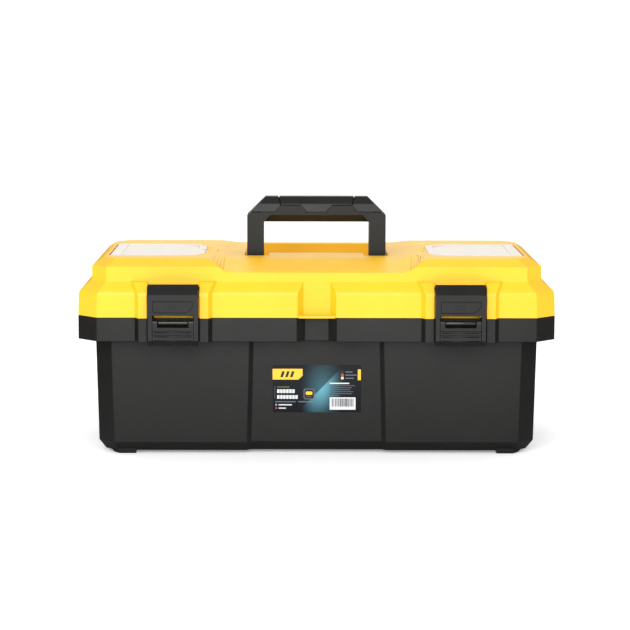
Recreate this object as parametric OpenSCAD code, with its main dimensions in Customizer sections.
// Moulded toolbox: tub, hinged lid with organiser bins, folding handle, draw latches, lift-out tray.
// The origin is on the floor, at the centre of the outline. +X is the long way, -Y is the front.

/* [Tub] */
// Length over the rim
rim_w = 431; // [420:1:440]
// Depth over the rim
rim_d = 208; // [206:1:212]
// Size of the 45 degree corners of the rim
rim_corner = 18; // [16:1:20]
// Height of the joint between tub and lid
seam_z = 128; // [128:0.5:130]
// Height of the rim
rim_h = 21.6; // [20:0.1:22]
// How far the tub's wall is set in under the rim
step_in = 14.7; // [14:0.1:15.4]
// Draft of the tub's wall from top to bottom
draft = 2; // [1:0.1:2.4]
// Height of the feet
foot_h = 2.5; // [2:0.1:3]
// Depth of the middle panel's recess
panel_recess = 4; // [3:0.5:4.5]
// Wall thickness of the tub
tub_wall = 2.6; // [2.4:0.1:2.8]

/* [Lid] */
// Height of the lid's band
band_h = 22; // [21:0.5:23]
// How far the band's ends lean in over its height
band_draft = 0.8; // [0:0.1:1.2]
// Height from the seam to the lid's flat top
lid_h = 51.6; // [51:0.1:52]
// Wall thickness of the lid
lid_wall = 2.5; // [2.3:0.1:2.6]
// How far the middle of the top lies below its ends
scoop_drop = 2.5; // [2.2:0.1:3.2]
// Half depth of an organiser cover
cover_half = 53.5; // [50:0.5:54]
// Depth of an organiser bin below its cover
bin_deep = 21; // [16:1:22]

/* [Handle] */
// Width over the legs
handle_w = 128.6; // [126:0.2:130]
// Width of one leg
leg_w = 15.4; // [14:0.2:16]
// Depth of the legs and the grip
leg_d = 26; // [24:0.5:26]
// Height of the handle's top above the floor
handle_top = 230.3; // [228:0.1:231]
// Position of the handle's pivot, front to back
pivot_y = -11; // [-12:0.5:-10]
// Height of the handle's pivot
pivot_z = 164; // [163.5:0.5:164.5]
// Radius of the handle's pivot pins
pivot_r = 3; // [2.5:0.1:3.2]

/* [Latches] */
// Distance of a latch from the middle
latch_x = 128.4; // [126:0.2:130]
// Width of a latch
latch_w = 44.8; // [44:0.2:45]
// Width of the lever inside the latch frame
lever_w = 36.6; // [36:0.2:36.8]
// How far the latches stand in front of the middle
latch_front = 116; // [115.8:0.1:116.2]

/* [Hinges and fits] */
// Distance of a lid hinge from the middle
hinge_x = 120; // [110:1:130]
// Length of a lid hinge
hinge_l = 60; // [50:1:64]
// Outer radius of a hinge knuckle
knuckle_r = 5.6; // [5.4:0.1:5.6]
// Radius of a hinge pin
pin_r = 2; // [1.8:0.1:2.2]
// Radial clearance of every running pin
run_gap = 0.05; // [0.03:0.01:0.08]
// Clearance between parts that move past each other
gap = 0.4; // [0.35:0.01:0.5]

/* [Tray] */
// Depth of the tray below its flange
tray_deep = 38; // [30:1:40]
// Wall thickness of the tray
tray_wall = 2; // [1.8:0.1:2.2]

/* [Hidden] */
$fn = 48;

eps = 0.01;
DARK = "#3c3c3b";
YELLOW = "#fcd92f";
STEEL = "#b9bcc0";
CLEAR = "#efe9dc";
NAVY = "#16232c";
GREY = "#55585a";

// Tub
rim_x = rim_w / 2;
rim_y = rim_d / 2;
rim_z = seam_z - rim_h;
tub_x = rim_x - step_in;
tub_y = rim_y - 14;
tub_corner = 15;
bottom_chamfer = 9;
end_chamfer = 6;
panel_half = 61;
panel_flare = 2.7;
ledge_z = rim_z + tub_wall;
tongue_h = 3.5;
tongue_wall = 1.7;
rim_levels = [[rim_z, rim_x, rim_y, rim_corner], [seam_z, rim_x, rim_y, rim_corner]];
tongue_in = tub_wall + 0.5;
// Slope of the front and back walls, and the angle of the label that lies on them
front_draft = (draft - 0.2) / (rim_z - foot_h - bottom_chamfer);
foot_in = 163.9;
foot_out = 188;
foot_front = 81.3;
foot_back = 62;

// Lid
band_z = seam_z + band_h;
shoulder_z = band_z + 10;
upper_z = shoulder_z + 13;
crest_z = seam_z + lid_h;
upper_in = [12.5, 8];
crest_in = [10.4, 12];
upper_corner = 14;
scoop_z = crest_z - scoop_drop;
scoop_front_z = shoulder_z + 8;
scoop_front_y = -(rim_y - upper_in[1]);
pull_in = 8;
pull_half = 12.3;
pull_slant = 5.7;
recess_half = 10.5;
recess_slant = 8.5;
lip_h = 2.3;
lip_z = seam_z - 0.3;
lip_out = 1.6;
lip_half = 16;
lip_root = 9.5;
lip_gap_half = 26;
scoop_flat_y = -44;
scoop_bend_y = -62;
scoop_sink = 2;
scoop_half = 70;
scoop_half_front = 77;
scoop_run = 26;

// Handle
pit_floor = pivot_z - leg_d / 2 - 1.5;
slot_in = handle_w / 2 - leg_w - 4.9;
slot_out = handle_w / 2 + 1.7;
slot_front = pivot_y - leg_d / 2 - 12;
pit_front = -10;
pit_back = 77;
bearing_l = 7;
bearing_r = 6.5;
grip_under = 207;
grip_split = 216;
chamfer_top = 214;
corner_cut = 17;
gusset = 6;

// Organiser covers: the outline's parts, from the hinge to the nose
cover_hinge_x = 187.8;
cover_end_x = cover_hinge_x - 1.6;
cover_straight_x = 128;
nose_len = 25;
nose_half = 26;
notch_r = 5;
cover_y = -6.5;
cover_thick = 2.2;
field_deep = 0.8;
field_in = 7;
cover_ledge_z = crest_z - 2.3;
barrel_r = 1.5;
barrel_z = crest_z - barrel_r;
stub_r = 1;
stub_l = 3;
bump_r = 1.6;
bump_y = 14;
cover_nose_x = cover_straight_x - nose_len;
hollow_r = 14;
hollow_deep = 1.6;

// Latches
boss_half = 34.6;
boss_slant = 3.3;
boss_out = 6;
pocket_half = latch_w / 2 + 1;
pocket_back = rim_y + 0.6;
latch_y = -latch_front;
latch_back = -(rim_y + 5.6);
latch_top = 158.6;
latch_lean = 7.8;
latch_crease = 150;
latch_bottom = 104;
latch_toe = 108.8;
frame_pin_y = -(rim_y - 1);
frame_pin_z = 154.8;
frame_pin_r = 1.3;
frame_pin_l = 55;
frame_barrel_r = 2.7;
window_top = 131.4;
bead_r = 1.15;
window_bottom = 120.4;
rod_y = -(rim_y + 8.4);
rod_z = 124.3;
rod_r = 1.9;
rod_l = 42;
ear_w = 4.3;
ear_r = 3.2;
groove_z = [117, 113.2];
groove_r = 0.7;
// Catch ribs of the tub, and the nibs of the levers that snap past them
rib_half = 12;
rib_h = 2.4;
rib_out = 3.4;
rib_z = rim_z + 4.6;
nib_half = 10;

// Lid hinges
hinge_y = rim_y + 6.4;
tub_knuckle = (hinge_l - 2 * gap) / 4;
lid_knuckle = (hinge_l - 2 * gap) / 2;

// Tray
flange_x = rim_x - 9;
flange_y = rim_y - 11.2;
flange_bottom = ledge_z + 0.3;
flange_top = flange_bottom + 2.4;
tray_bottom = flange_bottom - tray_deep + 2.4;
tray_x = tub_x - 5;
tray_y = tub_y - 8.2;
tray_taper = 2;
grip_half = 56;
grip_top = 138;

// ---------- Shapes ----------

// Corners of a rectangle with 45 degree corners, at one height
function ring(z, hx, hy, c) = [
  [hx, -hy + c, z], [hx, hy - c, z], [hx - c, hy, z], [-hx + c, hy, z],
  [-hx, hy - c, z], [-hx, -hy + c, z], [-hx + c, -hy, z], [hx - c, -hy, z]
];

// Solid through a stack of such outlines, each given as [z, half width, half depth, corner]
module loft(levels) {
  n = len(levels);
  points = [for (l = levels) each ring(l[0], l[1], l[2], l[3])];
  bottom = [for (i = [0:7]) i];
  top = [for (i = [7:-1:0]) (n - 1) * 8 + i];
  sides = [
    for (k = [0:n - 2], i = [0:7])
      [k * 8 + i, (k + 1) * 8 + i, (k + 1) * 8 + (i + 1) % 8, k * 8 + (i + 1) % 8]
  ];
  polyhedron(points, concat([bottom, top], sides));
}

// Solid above a surface z(x, y), given by the surface's lines of x and y and its own heights
module above(xs, ys, heights, top) {
  nx = len(xs);
  ny = len(ys);
  low = [for (j = [0:ny - 1], i = [0:nx - 1]) [xs[i], ys[j], heights[j][i]]];
  high = [for (j = [0:ny - 1], i = [0:nx - 1]) [xs[i], ys[j], top]];
  m = nx * ny;
  floor_faces = [
    for (j = [0:ny - 2], i = [0:nx - 2]) each [
      [j * nx + i, j * nx + i + 1, (j + 1) * nx + i + 1],
      [j * nx + i, (j + 1) * nx + i + 1, (j + 1) * nx + i]
    ]
  ];
  roof_faces = [for (f = floor_faces) [m + f[2], m + f[1], m + f[0]]];
  front = [for (i = [0:nx - 2]) [i + 1, i, m + i, m + i + 1]];
  back = [for (i = [0:nx - 2]) let (k = (ny - 1) * nx) [k + i, k + i + 1, m + k + i + 1, m + k + i]];
  left = [for (j = [0:ny - 2]) [j * nx, (j + 1) * nx, m + (j + 1) * nx, m + j * nx]];
  right = [
    for (j = [0:ny - 2]) let (k = nx - 1)
      [(j + 1) * nx + k, j * nx + k, m + j * nx + k, m + (j + 1) * nx + k]
  ];
  polyhedron(points = concat(low, high), faces = concat(floor_faces, roof_faces, front, back, left, right));
}

// Cylinder along X, centred at x
module rod_x(r, l, x, y, z) translate([x, y, z]) rotate([0, 90, 0]) cylinder(r = r, h = l, center = true);

// Cylinder along Y from y0 to y1
module rod_y_way(r, x, z, y0, y1) translate([x, y1, z]) rotate([90, 0, 0]) cylinder(r = r, h = y1 - y0);

// Side outline of (y, z) points, extruded along X about x
module profile_x(points, w, x = 0)
  translate([x - w / 2, 0, 0]) rotate([90, 0, 90]) linear_extrude(w) polygon(points);

module box(low, high) translate(low) cube(high - low);

module both_sides() {
  children();
  mirror([1, 0, 0]) children();
}

// ---------- Tub ----------

// Volume in front of the middle panel, drafted with the wall; d grows it into the wall
module panel_cut(d = 0) {
  y_top = tub_y - panel_recess - d;
  y_low = y_top - front_draft * rim_z;
  w_top = panel_half - panel_recess + d;
  w_low = w_top + panel_flare;
  flared_cut([w_low, -y_low, -1], [w_top, -y_top, rim_z + d]);
  // The recess goes on down the 45 degree chamfer under it
  back = panel_recess + foot_h + bottom_chamfer + draft - tub_y + sqrt(2) * d;
  flared_cut([w_low, back + tub_y, -tub_y], [w_low, back - tub_y, tub_y]);
}

// Space before a wall that runs from low to high, each [half width, y, z], with sides that open at 45 degrees
module flared_cut(low, high) {
  reach = 20;
  points = [
    for (p = [low, high]) each [
      [-p[0], p[1], p[2]], [p[0], p[1], p[2]],
      [p[0] + reach, p[1] - reach, p[2]], [-p[0] - reach, p[1] - reach, p[2]]
    ]
  ];
  sides = [for (i = [0:3]) let (j = (i + 1) % 4) each [[i, j, 4 + j], [i, 4 + j, 4 + i]]];
  polyhedron(points, concat([[3, 2, 1, 0], [4, 5, 6, 7]], sides));
}

// Outline of the middle pull's recess, d deeper and wider
module pull_outline(half, slant, d = 0)
  polygon([[-half - slant - d, -rim_y - 1], [-half - d, -rim_y + pull_in + d],
    [half + d, -rim_y + pull_in + d], [half + slant + d, -rim_y - 1]]);

// Latch boss outline on the rim, whose sides slant outwards as they go back
module boss_outline(back) {
  tip = boss_half - boss_slant;
  root = boss_half + boss_slant * (back + rim_y) / boss_out;
  polygon([[-root, back], [root, back], [tip, -rim_y - boss_out], [-tip, -rim_y - boss_out]]);
}

module knuckles(centres, l, z0, z1) {
  for (side = [-1, 1], c = centres) {
    x = side * hinge_x + c;
    rod_x(knuckle_r, l, x, hinge_y, seam_z);
    box([x - l / 2, rim_y - 1, z0], [x + l / 2, hinge_y, z1]);
  }
}

module tub_outer() {
  difference() {
    loft([
      [foot_h, tub_x - draft - end_chamfer, tub_y - draft - bottom_chamfer, tub_corner - 4],
      [foot_h + bottom_chamfer, tub_x - draft, tub_y - draft + 0.2, tub_corner],
      [rim_z + 1, tub_x, tub_y, tub_corner]
    ]);
    panel_cut();
    mirror([0, 1, 0]) panel_cut();
  }
  loft(rim_levels);
  loft([
    [seam_z - 1, rim_x - tongue_in, rim_y - tongue_in, rim_corner - 1.5],
    [seam_z + tongue_h, rim_x - tongue_in, rim_y - tongue_in, rim_corner - 1.5]
  ]);
  for (side = [-1, 1])
    translate([side * latch_x, 0, rim_z]) linear_extrude(rim_h) boss_outline(-rim_y + 1);
  outer_knuckle = (hinge_l - tub_knuckle) / 2;
  knuckles([-outer_knuckle, outer_knuckle], tub_knuckle, seam_z - 7, seam_z);
}

module tub_inner() {
  w = tub_wall;
  difference() {
    loft([
      [foot_h + w, tub_x - draft - end_chamfer - 1, tub_y - draft - bottom_chamfer, tub_corner - 4],
      [foot_h + bottom_chamfer + 1, tub_x - draft - w, tub_y - draft - w, tub_corner - 1],
      [ledge_z + 1, tub_x - w, tub_y - w, tub_corner - 1]
    ]);
    panel_cut(w);
    mirror([0, 1, 0]) panel_cut(w);
  }
  difference() {
    union() {
      loft([
        [ledge_z, rim_x - w, rim_y - w, rim_corner - 1],
        [seam_z - 5, rim_x - w, rim_y - w, rim_corner - 1]
      ]);
      inner = tongue_in + tongue_wall;
      loft([
        [seam_z - 5 - eps, rim_x - inner, rim_y - inner, rim_corner - 2],
        [seam_z + tongue_h + 1, rim_x - inner, rim_y - inner, rim_corner - 2]
      ]);
    }
    translate([0, 0, ledge_z - 1]) linear_extrude(seam_z - ledge_z + 1)
      pull_outline(recess_half, recess_slant, w);
  }
}

module base_tub() color(DARK) {
  difference() {
    tub_outer();
    tub_inner();
    // Recess under the lid's pull, and the gap in the tongue behind it
    translate([0, 0, rim_z - 1]) linear_extrude(rim_h + 2) pull_outline(recess_half, recess_slant);
    box([-lip_gap_half, -rim_y - 1, seam_z], [lip_gap_half, -rim_y + 12, seam_z + 10]);
    // Pockets that the latches lie in
    for (side = [-1, 1])
      box([side * latch_x - pocket_half, -rim_y - 10, rim_z - 1],
        [side * latch_x + pocket_half, -pocket_back, seam_z + 1]);
    for (side = [-1, 1])
      rod_x(pin_r + run_gap, hinge_l + 2, side * hinge_x, hinge_y, seam_z);
  }
  // Catch ribs that the levers snap past
  for (side = [-1, 1])
    box([side * latch_x - rib_half, -pocket_back - rib_out, rib_z],
      [side * latch_x + rib_half, -pocket_back + 1, rib_z + rib_h]);
  feet();
}

module foot() {
  hull() {
    translate([0, 0, foot_h + 1]) linear_extrude(tub_wall - 1.1) foot_plan(0, 0);
    linear_extrude(1) foot_plan(1, 3);
  }
}

// Plan of a foot, with its inner, front and back edges moved in by small and its outer edge by large
module foot_plan(small, large) {
  corner = 7;
  polygon([
    [foot_in + small, -foot_front + small / 3], [foot_out - corner - small, -foot_front + small / 3],
    [foot_out - large, -foot_front + corner], [foot_out - large, -foot_back + corner - large],
    [foot_in + small, -foot_back - small]
  ]);
}

module feet() {
  both_sides() {
    foot();
    mirror([0, 1, 0]) foot();
  }
}

module label_sticker() color(NAVY) {
  label_w = 80;
  label_h = 43.6;
  label_x = 0.4;
  label_z = 38.9;
  thick = 0.25;
  face_y = -(tub_y - panel_recess - front_draft * (rim_z - label_z)) - 0.02;
  translate([label_x, face_y, label_z])
    rotate([atan(front_draft), 0, 0])
      translate([-label_w / 2, -thick, 0]) cube([label_w, thick, label_h]);
}

// ---------- Tray ----------

// Four end cells and two long cells beside the grip
module tray_cells() {
  w = tray_wall;
  floor_z = tray_bottom + w;
  mid = grip_half + 8;
  intersection() {
    loft([
      [floor_z, tray_x - tray_taper - w, tray_y - tray_taper - w, tub_corner - 4],
      [flange_top + 1, tray_x - w, tray_y - w, tub_corner - 3]
    ]);
    union() {
      for (sx = [-1, 0, 1], sy = [-1, 1])
        translate([sx * (mid + w + tray_x), sy * (w / 2 + tray_y), floor_z + tray_deep])
          cube([sx == 0 ? 2 * mid : 2 * tray_x, 2 * tray_y, 2 * tray_deep], center = true);
    }
  }
}

module tray() color(GREY) {
  difference() {
    union() {
      loft([
        [tray_bottom, tray_x - tray_taper, tray_y - tray_taper, tub_corner - 3],
        [flange_top, tray_x, tray_y, tub_corner - 2]
      ]);
      loft([
        [flange_bottom, flange_x, flange_y, rim_corner - 2],
        [flange_top, flange_x, flange_y, rim_corner - 2]
      ]);
    }
    tray_cells();
  }
  // Carrying grip along the middle wall
  thick = 6;
  slant = 12;
  bar_h = 7;
  hand_half = grip_half - 14;
  hand_top = grip_top - bar_h;
  difference() {
    translate([0, thick / 2, 0]) rotate([90, 0, 0]) linear_extrude(thick)
      polygon([[-grip_half, tray_bottom + 1], [-grip_half, flange_top], [-grip_half + slant, grip_top],
        [grip_half - slant, grip_top], [grip_half, flange_top], [grip_half, tray_bottom + 1]]);
    translate([0, thick, 0]) rotate([90, 0, 0]) linear_extrude(2 * thick)
      polygon([[-hand_half, flange_top - 4], [-hand_half + slant / 2, hand_top],
        [hand_half - slant / 2, hand_top], [hand_half, flange_top - 4]]);
  }
}

// ---------- Lid ----------

function smooth(t) = let (u = max(0, min(1, t))) u * u * (3 - 2 * u);

// Height of the scoop's floor along Y, and of its S-shaped sides along X
function scoop_base(y) =
  y > scoop_flat_y ? scoop_z
  : y > scoop_bend_y ? scoop_z - scoop_sink * pow((scoop_flat_y - y) / (scoop_flat_y - scoop_bend_y), 2)
  : scoop_z - scoop_sink - scoop_share(y) * (scoop_z - scoop_sink - scoop_front_z);
function scoop_share(y) = max(0, (scoop_bend_y - y) / (scoop_bend_y - scoop_front_y));
function scoop_side(y) = scoop_half + scoop_share(y) * (scoop_half_front - scoop_half);

module scoop() {
  ys = [-130, scoop_front_y, scoop_bend_y, (scoop_bend_y + scoop_flat_y) / 2, scoop_flat_y, 140];
  steps = 12;
  far = scoop_half_front + scoop_run;
  inner = [for (i = [0:steps]) -far + (far - scoop_half) * i / steps];
  xs = concat(inner, [for (i = [steps:-1:0]) -inner[i]]);
  heights = [
    for (y = ys) [
      for (x = xs)
        let (side = scoop_side(y), base = scoop_base(y))
          base + (crest_z + 0.25 - base) * smooth((abs(x) - side) / scoop_run)
    ]
  ];
  above(xs, ys, heights, crest_z + 20);
}

module lid_outer() {
  difference() {
    loft([
      [seam_z, rim_x, rim_y, rim_corner],
      [band_z, rim_x - band_draft, rim_y, rim_corner],
      [shoulder_z, rim_x - upper_in[0], rim_y - upper_in[1], upper_corner],
      [upper_z, rim_x - upper_in[0], rim_y - upper_in[1], upper_corner],
      [crest_z, rim_x - upper_in[0] - crest_in[0], rim_y - upper_in[1] - crest_in[1], upper_corner - 2]
    ]);
    scoop();
  }
}

module lid_cavity() {
  w = lid_wall;
  x1 = rim_x - upper_in[0] - w;
  y1 = rim_y - upper_in[1] - w;
  difference() {
    loft([
      [seam_z - 1, rim_x - w, rim_y - w, rim_corner - 1],
      [band_z - 0.35 * w, rim_x - band_draft - w, rim_y - w, rim_corner - 1],
      [shoulder_z - 0.35 * w, x1, y1, upper_corner - 1],
      [upper_z - 0.6 * w, x1, y1, upper_corner - 1],
      [crest_z - w, x1 - crest_in[0] + 0.7 * w, y1 - crest_in[1] + 0.7 * w, upper_corner - 3]
    ]);
    translate([0, 0, -w]) scoop();
  }
}

// Plan of the handle's pit: two slots for the legs and the space for the grip between them
module pit_plan(d) {
  for (s = [-1, 1])
    translate([s * (slot_in + slot_out) / 2, (slot_front + pit_back) / 2])
      square([slot_out - slot_in + 2 * d, pit_back - slot_front + 2 * d], center = true);
  translate([0, (pit_front + pit_back) / 2])
    square([2 * slot_in + 1, pit_back - pit_front + 2 * d], center = true);
}

// Plan of one organiser cover, grown by d; the right one
module cover_plan(d, end_x) {
  steps = 6;
  nose = [
    for (i = [0:steps])
      let (t = 90 * i / steps)
        [cover_straight_x - (nose_len + d) * sin(t), nose_half + (cover_half - nose_half + d) * cos(t)]
  ];
  back = [for (p = nose) [p[0], cover_y + p[1]]];
  front = [for (i = [steps:-1:0]) [nose[i][0], cover_y - nose[i][1]]];
  polygon(concat([[end_x, cover_y - cover_half - d], [end_x, cover_y + cover_half + d]], back, front));
}

module bin_walls() {
  intersection() {
    lid_outer();
    union() {
      translate([0, 0, cover_ledge_z - bin_deep - lid_wall])
        linear_extrude(bin_deep + lid_wall) cover_plan(-1.5, cover_end_x - 1.5);
      translate([0, 0, cover_ledge_z - 2.4]) linear_extrude(10) cover_plan(3, cover_hinge_x + 5);
      // Backing of the finger hollow
      translate([cover_nose_x - notch_r, cover_y, cover_ledge_z - 2.4]) cylinder(r = hollow_r / 1.5, h = 10);
    }
  }
}

module bin_space() {
  translate([0, 0, cover_ledge_z - bin_deep]) linear_extrude(bin_deep + 1) cover_plan(-4, cover_end_x - 4);
  translate([0, 0, cover_ledge_z]) linear_extrude(10) cover_plan(gap, cover_hinge_x + 2.4);
  rod_y_way(barrel_r + gap, cover_hinge_x, barrel_z, cover_y - cover_half - gap, cover_y + cover_half + gap);
  rod_y_way(stub_r + run_gap, cover_hinge_x, barrel_z, cover_y - cover_half - stub_l - 1,
    cover_y + cover_half + stub_l + 1);
}

module hinge_blocks() {
  block = 8;
  intersection() {
    lid_outer();
    for (s = [-1, 1])
      translate([cover_hinge_x, cover_y + s * (cover_half + block / 2), crest_z - 3])
        cube([block - 1, block, block], center = true);
  }
}

// The boss follows the lid's shoulder, one step further out
module latch_boss() {
  face_y = -rim_y - boss_out;
  back = -rim_y + upper_in[1] + 1;
  intersection() {
    translate([0, 0, seam_z]) linear_extrude(shoulder_z - seam_z) boss_outline(back);
    profile_x([[back, seam_z], [face_y, seam_z], [face_y, band_z], [face_y + upper_in[1], shoulder_z],
      [back, shoulder_z]], 4 * boss_half);
  }
}

// Space that a latch lies in, almost down to the band and the shoulder
module latch_pocket() {
  front = -rim_y - 20;
  back = -rim_y + upper_in[1];
  profile_x([[front, seam_z - 1], [-pocket_back, seam_z - 1], [-pocket_back, band_z - 1.3],
    [back, shoulder_z], [back, shoulder_z + eps], [front, shoulder_z + eps]], 2 * pocket_half);
  rod_x(frame_barrel_r + gap, 2 * pocket_half, 0, frame_pin_y, frame_pin_z);
  rod_x(frame_pin_r + run_gap, frame_pin_l + 1, 0, frame_pin_y, frame_pin_z);
}

module lid_shell() color(YELLOW) {
  difference() {
    union() {
      difference() {
        union() {
          lid_outer();
          for (side = [-1, 1]) translate([side * latch_x, 0, 0]) latch_boss();
        }
        lid_cavity();
      }
      intersection() {
        lid_outer();
        translate([0, 0, pit_floor - lid_wall]) linear_extrude(crest_z - pit_floor + 5) pit_plan(lid_wall);
      }
      for (s = [-1, 1], x = [slot_in - bearing_l / 2, slot_out + bearing_l / 2])
        rod_x(bearing_r, bearing_l, s * x, pivot_y, pivot_z);
      both_sides() {
        bin_walls();
        hinge_blocks();
      }
      intersection() {
        lid_outer();
        translate([0, 0, seam_z]) linear_extrude(shoulder_z - seam_z)
          pull_outline(pull_half, pull_slant, lid_wall);
      }
      knuckles([0], lid_knuckle, seam_z, seam_z + 7);
    }
    translate([0, 0, pit_floor]) linear_extrude(40) pit_plan(0);
    both_sides() bin_space();
    both_sides() rod_x(pivot_r + run_gap, slot_out - slot_in + 2 * bearing_l + 4,
      (slot_in + slot_out) / 2, pivot_y, pivot_z);
    // Recess of the middle pull, open through the shoulder
    translate([0, 0, seam_z + 2]) linear_extrude(shoulder_z - seam_z - 2 + eps)
      pull_outline(pull_half, pull_slant);
    for (side = [-1, 1]) {
      translate([side * latch_x, 0, 0]) latch_pocket();
      rod_x(pin_r + run_gap, hinge_l, side * hinge_x, hinge_y, seam_z);
    }
    // Finger hollows beyond the noses of the covers
    both_sides()
      translate([cover_nose_x - notch_r, cover_y, crest_z + hollow_r - hollow_deep]) sphere(r = hollow_r);
  }
  // Beads that stiffen the lid's edge behind the latch windows
  for (side = [-1, 1])
    rod_x(bead_r, lever_w - 2, side * latch_x, -pocket_back - bead_r + 0.4, seam_z + bead_r + 0.05);
  // Lip of the middle pull, hanging a little into the tub's recess
  translate([0, 0, lip_z]) linear_extrude(lip_h)
    polygon([[-lip_root, -rim_y + 7.4], [-lip_half - 0.5, -rim_y - 0.2], [-lip_half, -rim_y - lip_out],
      [lip_half, -rim_y - lip_out], [lip_half + 0.5, -rim_y - 0.2], [lip_root, -rim_y + 7.4]]);
  // Snap bumps at the noses of the covers
  both_sides() for (y = [-bump_y, bump_y])
    rod_y_way(bump_r, cover_nose_x - 3, crest_z - 0.9, cover_y + y - 3, cover_y + y + 3);
}

// ---------- Organiser covers ----------

module cover() {
  low = cover_ledge_z + 0.1;
  front = cover_y - cover_half;
  back = cover_y + cover_half;
  difference() {
    union() {
      translate([0, 0, low]) linear_extrude(cover_thick) cover_plan(0, cover_end_x);
      // Web between the plate and the barrel
      box([cover_end_x - 1, front, low], [cover_hinge_x, back, low + cover_thick]);
      rod_y_way(barrel_r, cover_hinge_x, barrel_z, front, back);
      rod_y_way(stub_r, cover_hinge_x, barrel_z, front - stub_l, back + stub_l);
    }
    // Shallow sunk field on top, and a finger notch at the nose
    translate([0, 0, low + cover_thick - field_deep]) linear_extrude(cover_thick)
      cover_plan(-field_in, cover_end_x - field_in);
    translate([cover_nose_x - 1.5, cover_y, 0]) cylinder(r = notch_r, h = crest_z + 10);
  }
}

module cover_left() color(CLEAR) mirror([1, 0, 0]) cover();

module cover_right() color(CLEAR) cover();

// ---------- Handle ----------

// Front view of the bow: legs, 45 degree shoulders and small inner gussets
module bow_front() {
  o = handle_w / 2;
  i = o - leg_w;
  polygon([
    [-o, pivot_z], [-o, handle_top - corner_cut], [-o + corner_cut, handle_top],
    [o - corner_cut, handle_top], [o, handle_top - corner_cut], [o, pivot_z],
    [i, pivot_z], [i, grip_under - 1], [i - 1, grip_under], [-i + 1, grip_under], [-i, grip_under - 1],
    [-i, pivot_z]
  ]);
}

module bow_solid() {
  half = leg_d / 2;
  intersection() {
    translate([0, pivot_y + half, 0]) rotate([90, 0, 0]) linear_extrude(leg_d) bow_front();
    profile_x([
      [pivot_y - half, pivot_z], [pivot_y - half, handle_top - 6], [pivot_y - half + 8, handle_top],
      [pivot_y + half - 8, handle_top], [pivot_y + half, handle_top - 6], [pivot_y + half, pivot_z]
    ], handle_w + 1);
  }
  for (s = [-1, 1])
    rod_x(half, leg_w, s * (handle_w / 2 - leg_w / 2), pivot_y, pivot_z);
}

module handle_bow() color(DARK) difference() {
  bow_solid();
  // Seat of the grip's upper saddle
  box([-handle_w / 2 - 1, pivot_y - leg_d, grip_split], [handle_w / 2 + 1, pivot_y + leg_d, handle_top + 1]);
  // Chamfers under the grip, between the legs
  i = handle_w / 2 - leg_w - gusset;
  for (s = [-1, 1])
    translate([0, pivot_y, 0]) scale([1, s, 1])
      profile_x([[leg_d / 2 - 5, grip_under - 0.5], [leg_d / 2 + 1, grip_under - 0.5],
        [leg_d / 2 + 1, chamfer_top], [leg_d / 2, chamfer_top]], 2 * i);
  both_sides() rod_x(pivot_r + run_gap, leg_w + 2, handle_w / 2 - leg_w / 2, pivot_y, pivot_z);
}

module handle_grip() color(DARK) intersection() {
  bow_solid();
  box([-handle_w / 2 - 1, pivot_y - leg_d, grip_split], [handle_w / 2 + 1, pivot_y + leg_d, handle_top + 1]);
}

module handle_pin(side) color(STEEL)
  rod_x(pivot_r, slot_out - slot_in + 2 * bearing_l - 2, side * (slot_in + slot_out) / 2, pivot_y, pivot_z);

module handle_pin_left() handle_pin(-1);

module handle_pin_right() handle_pin(1);

// ---------- Lid hinges ----------

module hinge_pin(side) color(STEEL) rod_x(pin_r, hinge_l - 1, side * hinge_x, hinge_y, seam_z);

module hinge_pin_left() hinge_pin(-1);

module hinge_pin_right() hinge_pin(1);

// ---------- Latches ----------

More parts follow.
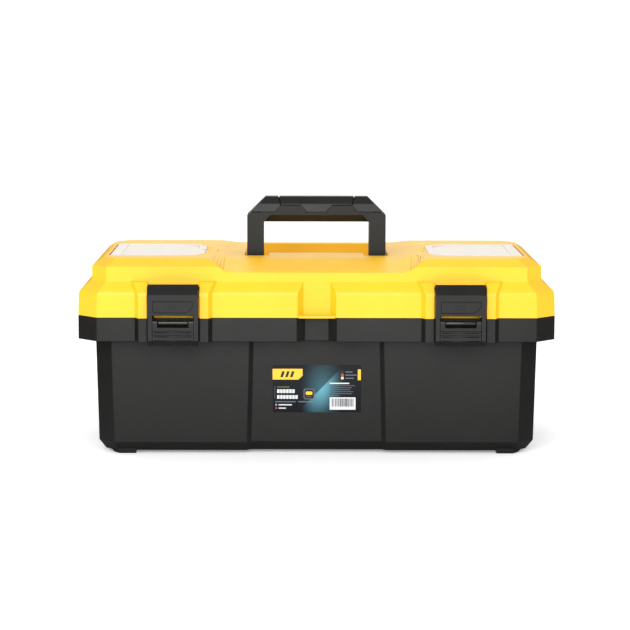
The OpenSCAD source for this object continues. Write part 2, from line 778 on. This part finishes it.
module latch_frame(side) color(DARK) {
  x = side * latch_x;
  difference() {
    union() {
      profile_x([
        [latch_back, latch_bottom + 1], [latch_y + 3, latch_bottom], [latch_y, latch_toe],
        [latch_y, latch_crease], [latch_y + latch_lean, latch_top],
        [frame_pin_y, frame_pin_z + frame_barrel_r], [frame_pin_y, frame_pin_z - frame_barrel_r],
        [latch_back, latch_crease - 1.5]
      ], latch_w, x);
      rod_x(frame_barrel_r, latch_w, x, frame_pin_y, frame_pin_z);
    }
    rod_x(frame_pin_r + run_gap, latch_w + 2, x, frame_pin_y, frame_pin_z);
    // Opening for the lever, and the window above it
    box([x - lever_w / 2 - 0.35, latch_y - 5, latch_bottom - 5],
      [x + lever_w / 2 + 0.35, latch_back + 5, window_top]);
    rod_x(rod_r + run_gap, latch_w + 2, x, rod_y, rod_z);
    // Hollow behind the face
    box([x - latch_w / 2 + 3, latch_y + 3, window_top + 3],
      [x + latch_w / 2 - 3, latch_back + 5, latch_crease - 3]);
  }
}

module latch_lever(side) color(DARK) {
  x = side * latch_x;
  face = latch_y + 0.4;
  back = latch_back - 0.4;
  difference() {
    union() {
      profile_x([
        [back, latch_bottom + 0.6], [latch_y + 3, latch_bottom], [face, latch_toe - 0.3],
        [face, window_bottom], [back, window_bottom]
      ], lever_w, x);
      for (s = [-1, 1]) {
        ear_x = x + s * (lever_w / 2 - ear_w / 2);
        rod_x(ear_r, ear_w, ear_x, rod_y, rod_z);
        box([ear_x - ear_w / 2, rod_y - ear_r, window_bottom - 1], [ear_x + ear_w / 2, rod_y + 2.4, rod_z]);
      }
      // Nib that snaps past the catch rib
      box([x - nib_half, back - 1, rib_z - 3], [x + nib_half, -pocket_back - rib_out - gap, rib_z - 0.6]);
    }
    // Finger grooves
    for (z = groove_z)
      rod_x(groove_r, lever_w + 2, x, face - 0.1, z);
    // Thumb notch in the toe
    translate([x, latch_y + 1, latch_bottom - 1.2]) rotate([90, 45, 0]) cube([4, 4, 9], center = true);
    rod_x(rod_r + run_gap, lever_w + 2, x, rod_y, rod_z);
  }
}

module latch_rod(side) color(STEEL) rod_x(rod_r, rod_l, side * latch_x, rod_y, rod_z);

module latch_pin(side) color(STEEL) rod_x(frame_pin_r, frame_pin_l, side * latch_x, frame_pin_y, frame_pin_z);

module latch_left_frame() latch_frame(-1);

module latch_left_lever() latch_lever(-1);

module latch_left_rod() latch_rod(-1);

module latch_left_pin() latch_pin(-1);

module latch_right_frame() latch_frame(1);

module latch_right_lever() latch_lever(1);

module latch_right_rod() latch_rod(1);

module latch_right_pin() latch_pin(1);

base_tub();
label_sticker();
tray();
lid_shell();
cover_left();
cover_right();
handle_bow();
handle_grip();
handle_pin_left();
handle_pin_right();
hinge_pin_left();
hinge_pin_right();
latch_left_frame();
latch_left_lever();
latch_left_rod();
latch_left_pin();
latch_right_frame();
latch_right_lever();
latch_right_rod();
latch_right_pin();
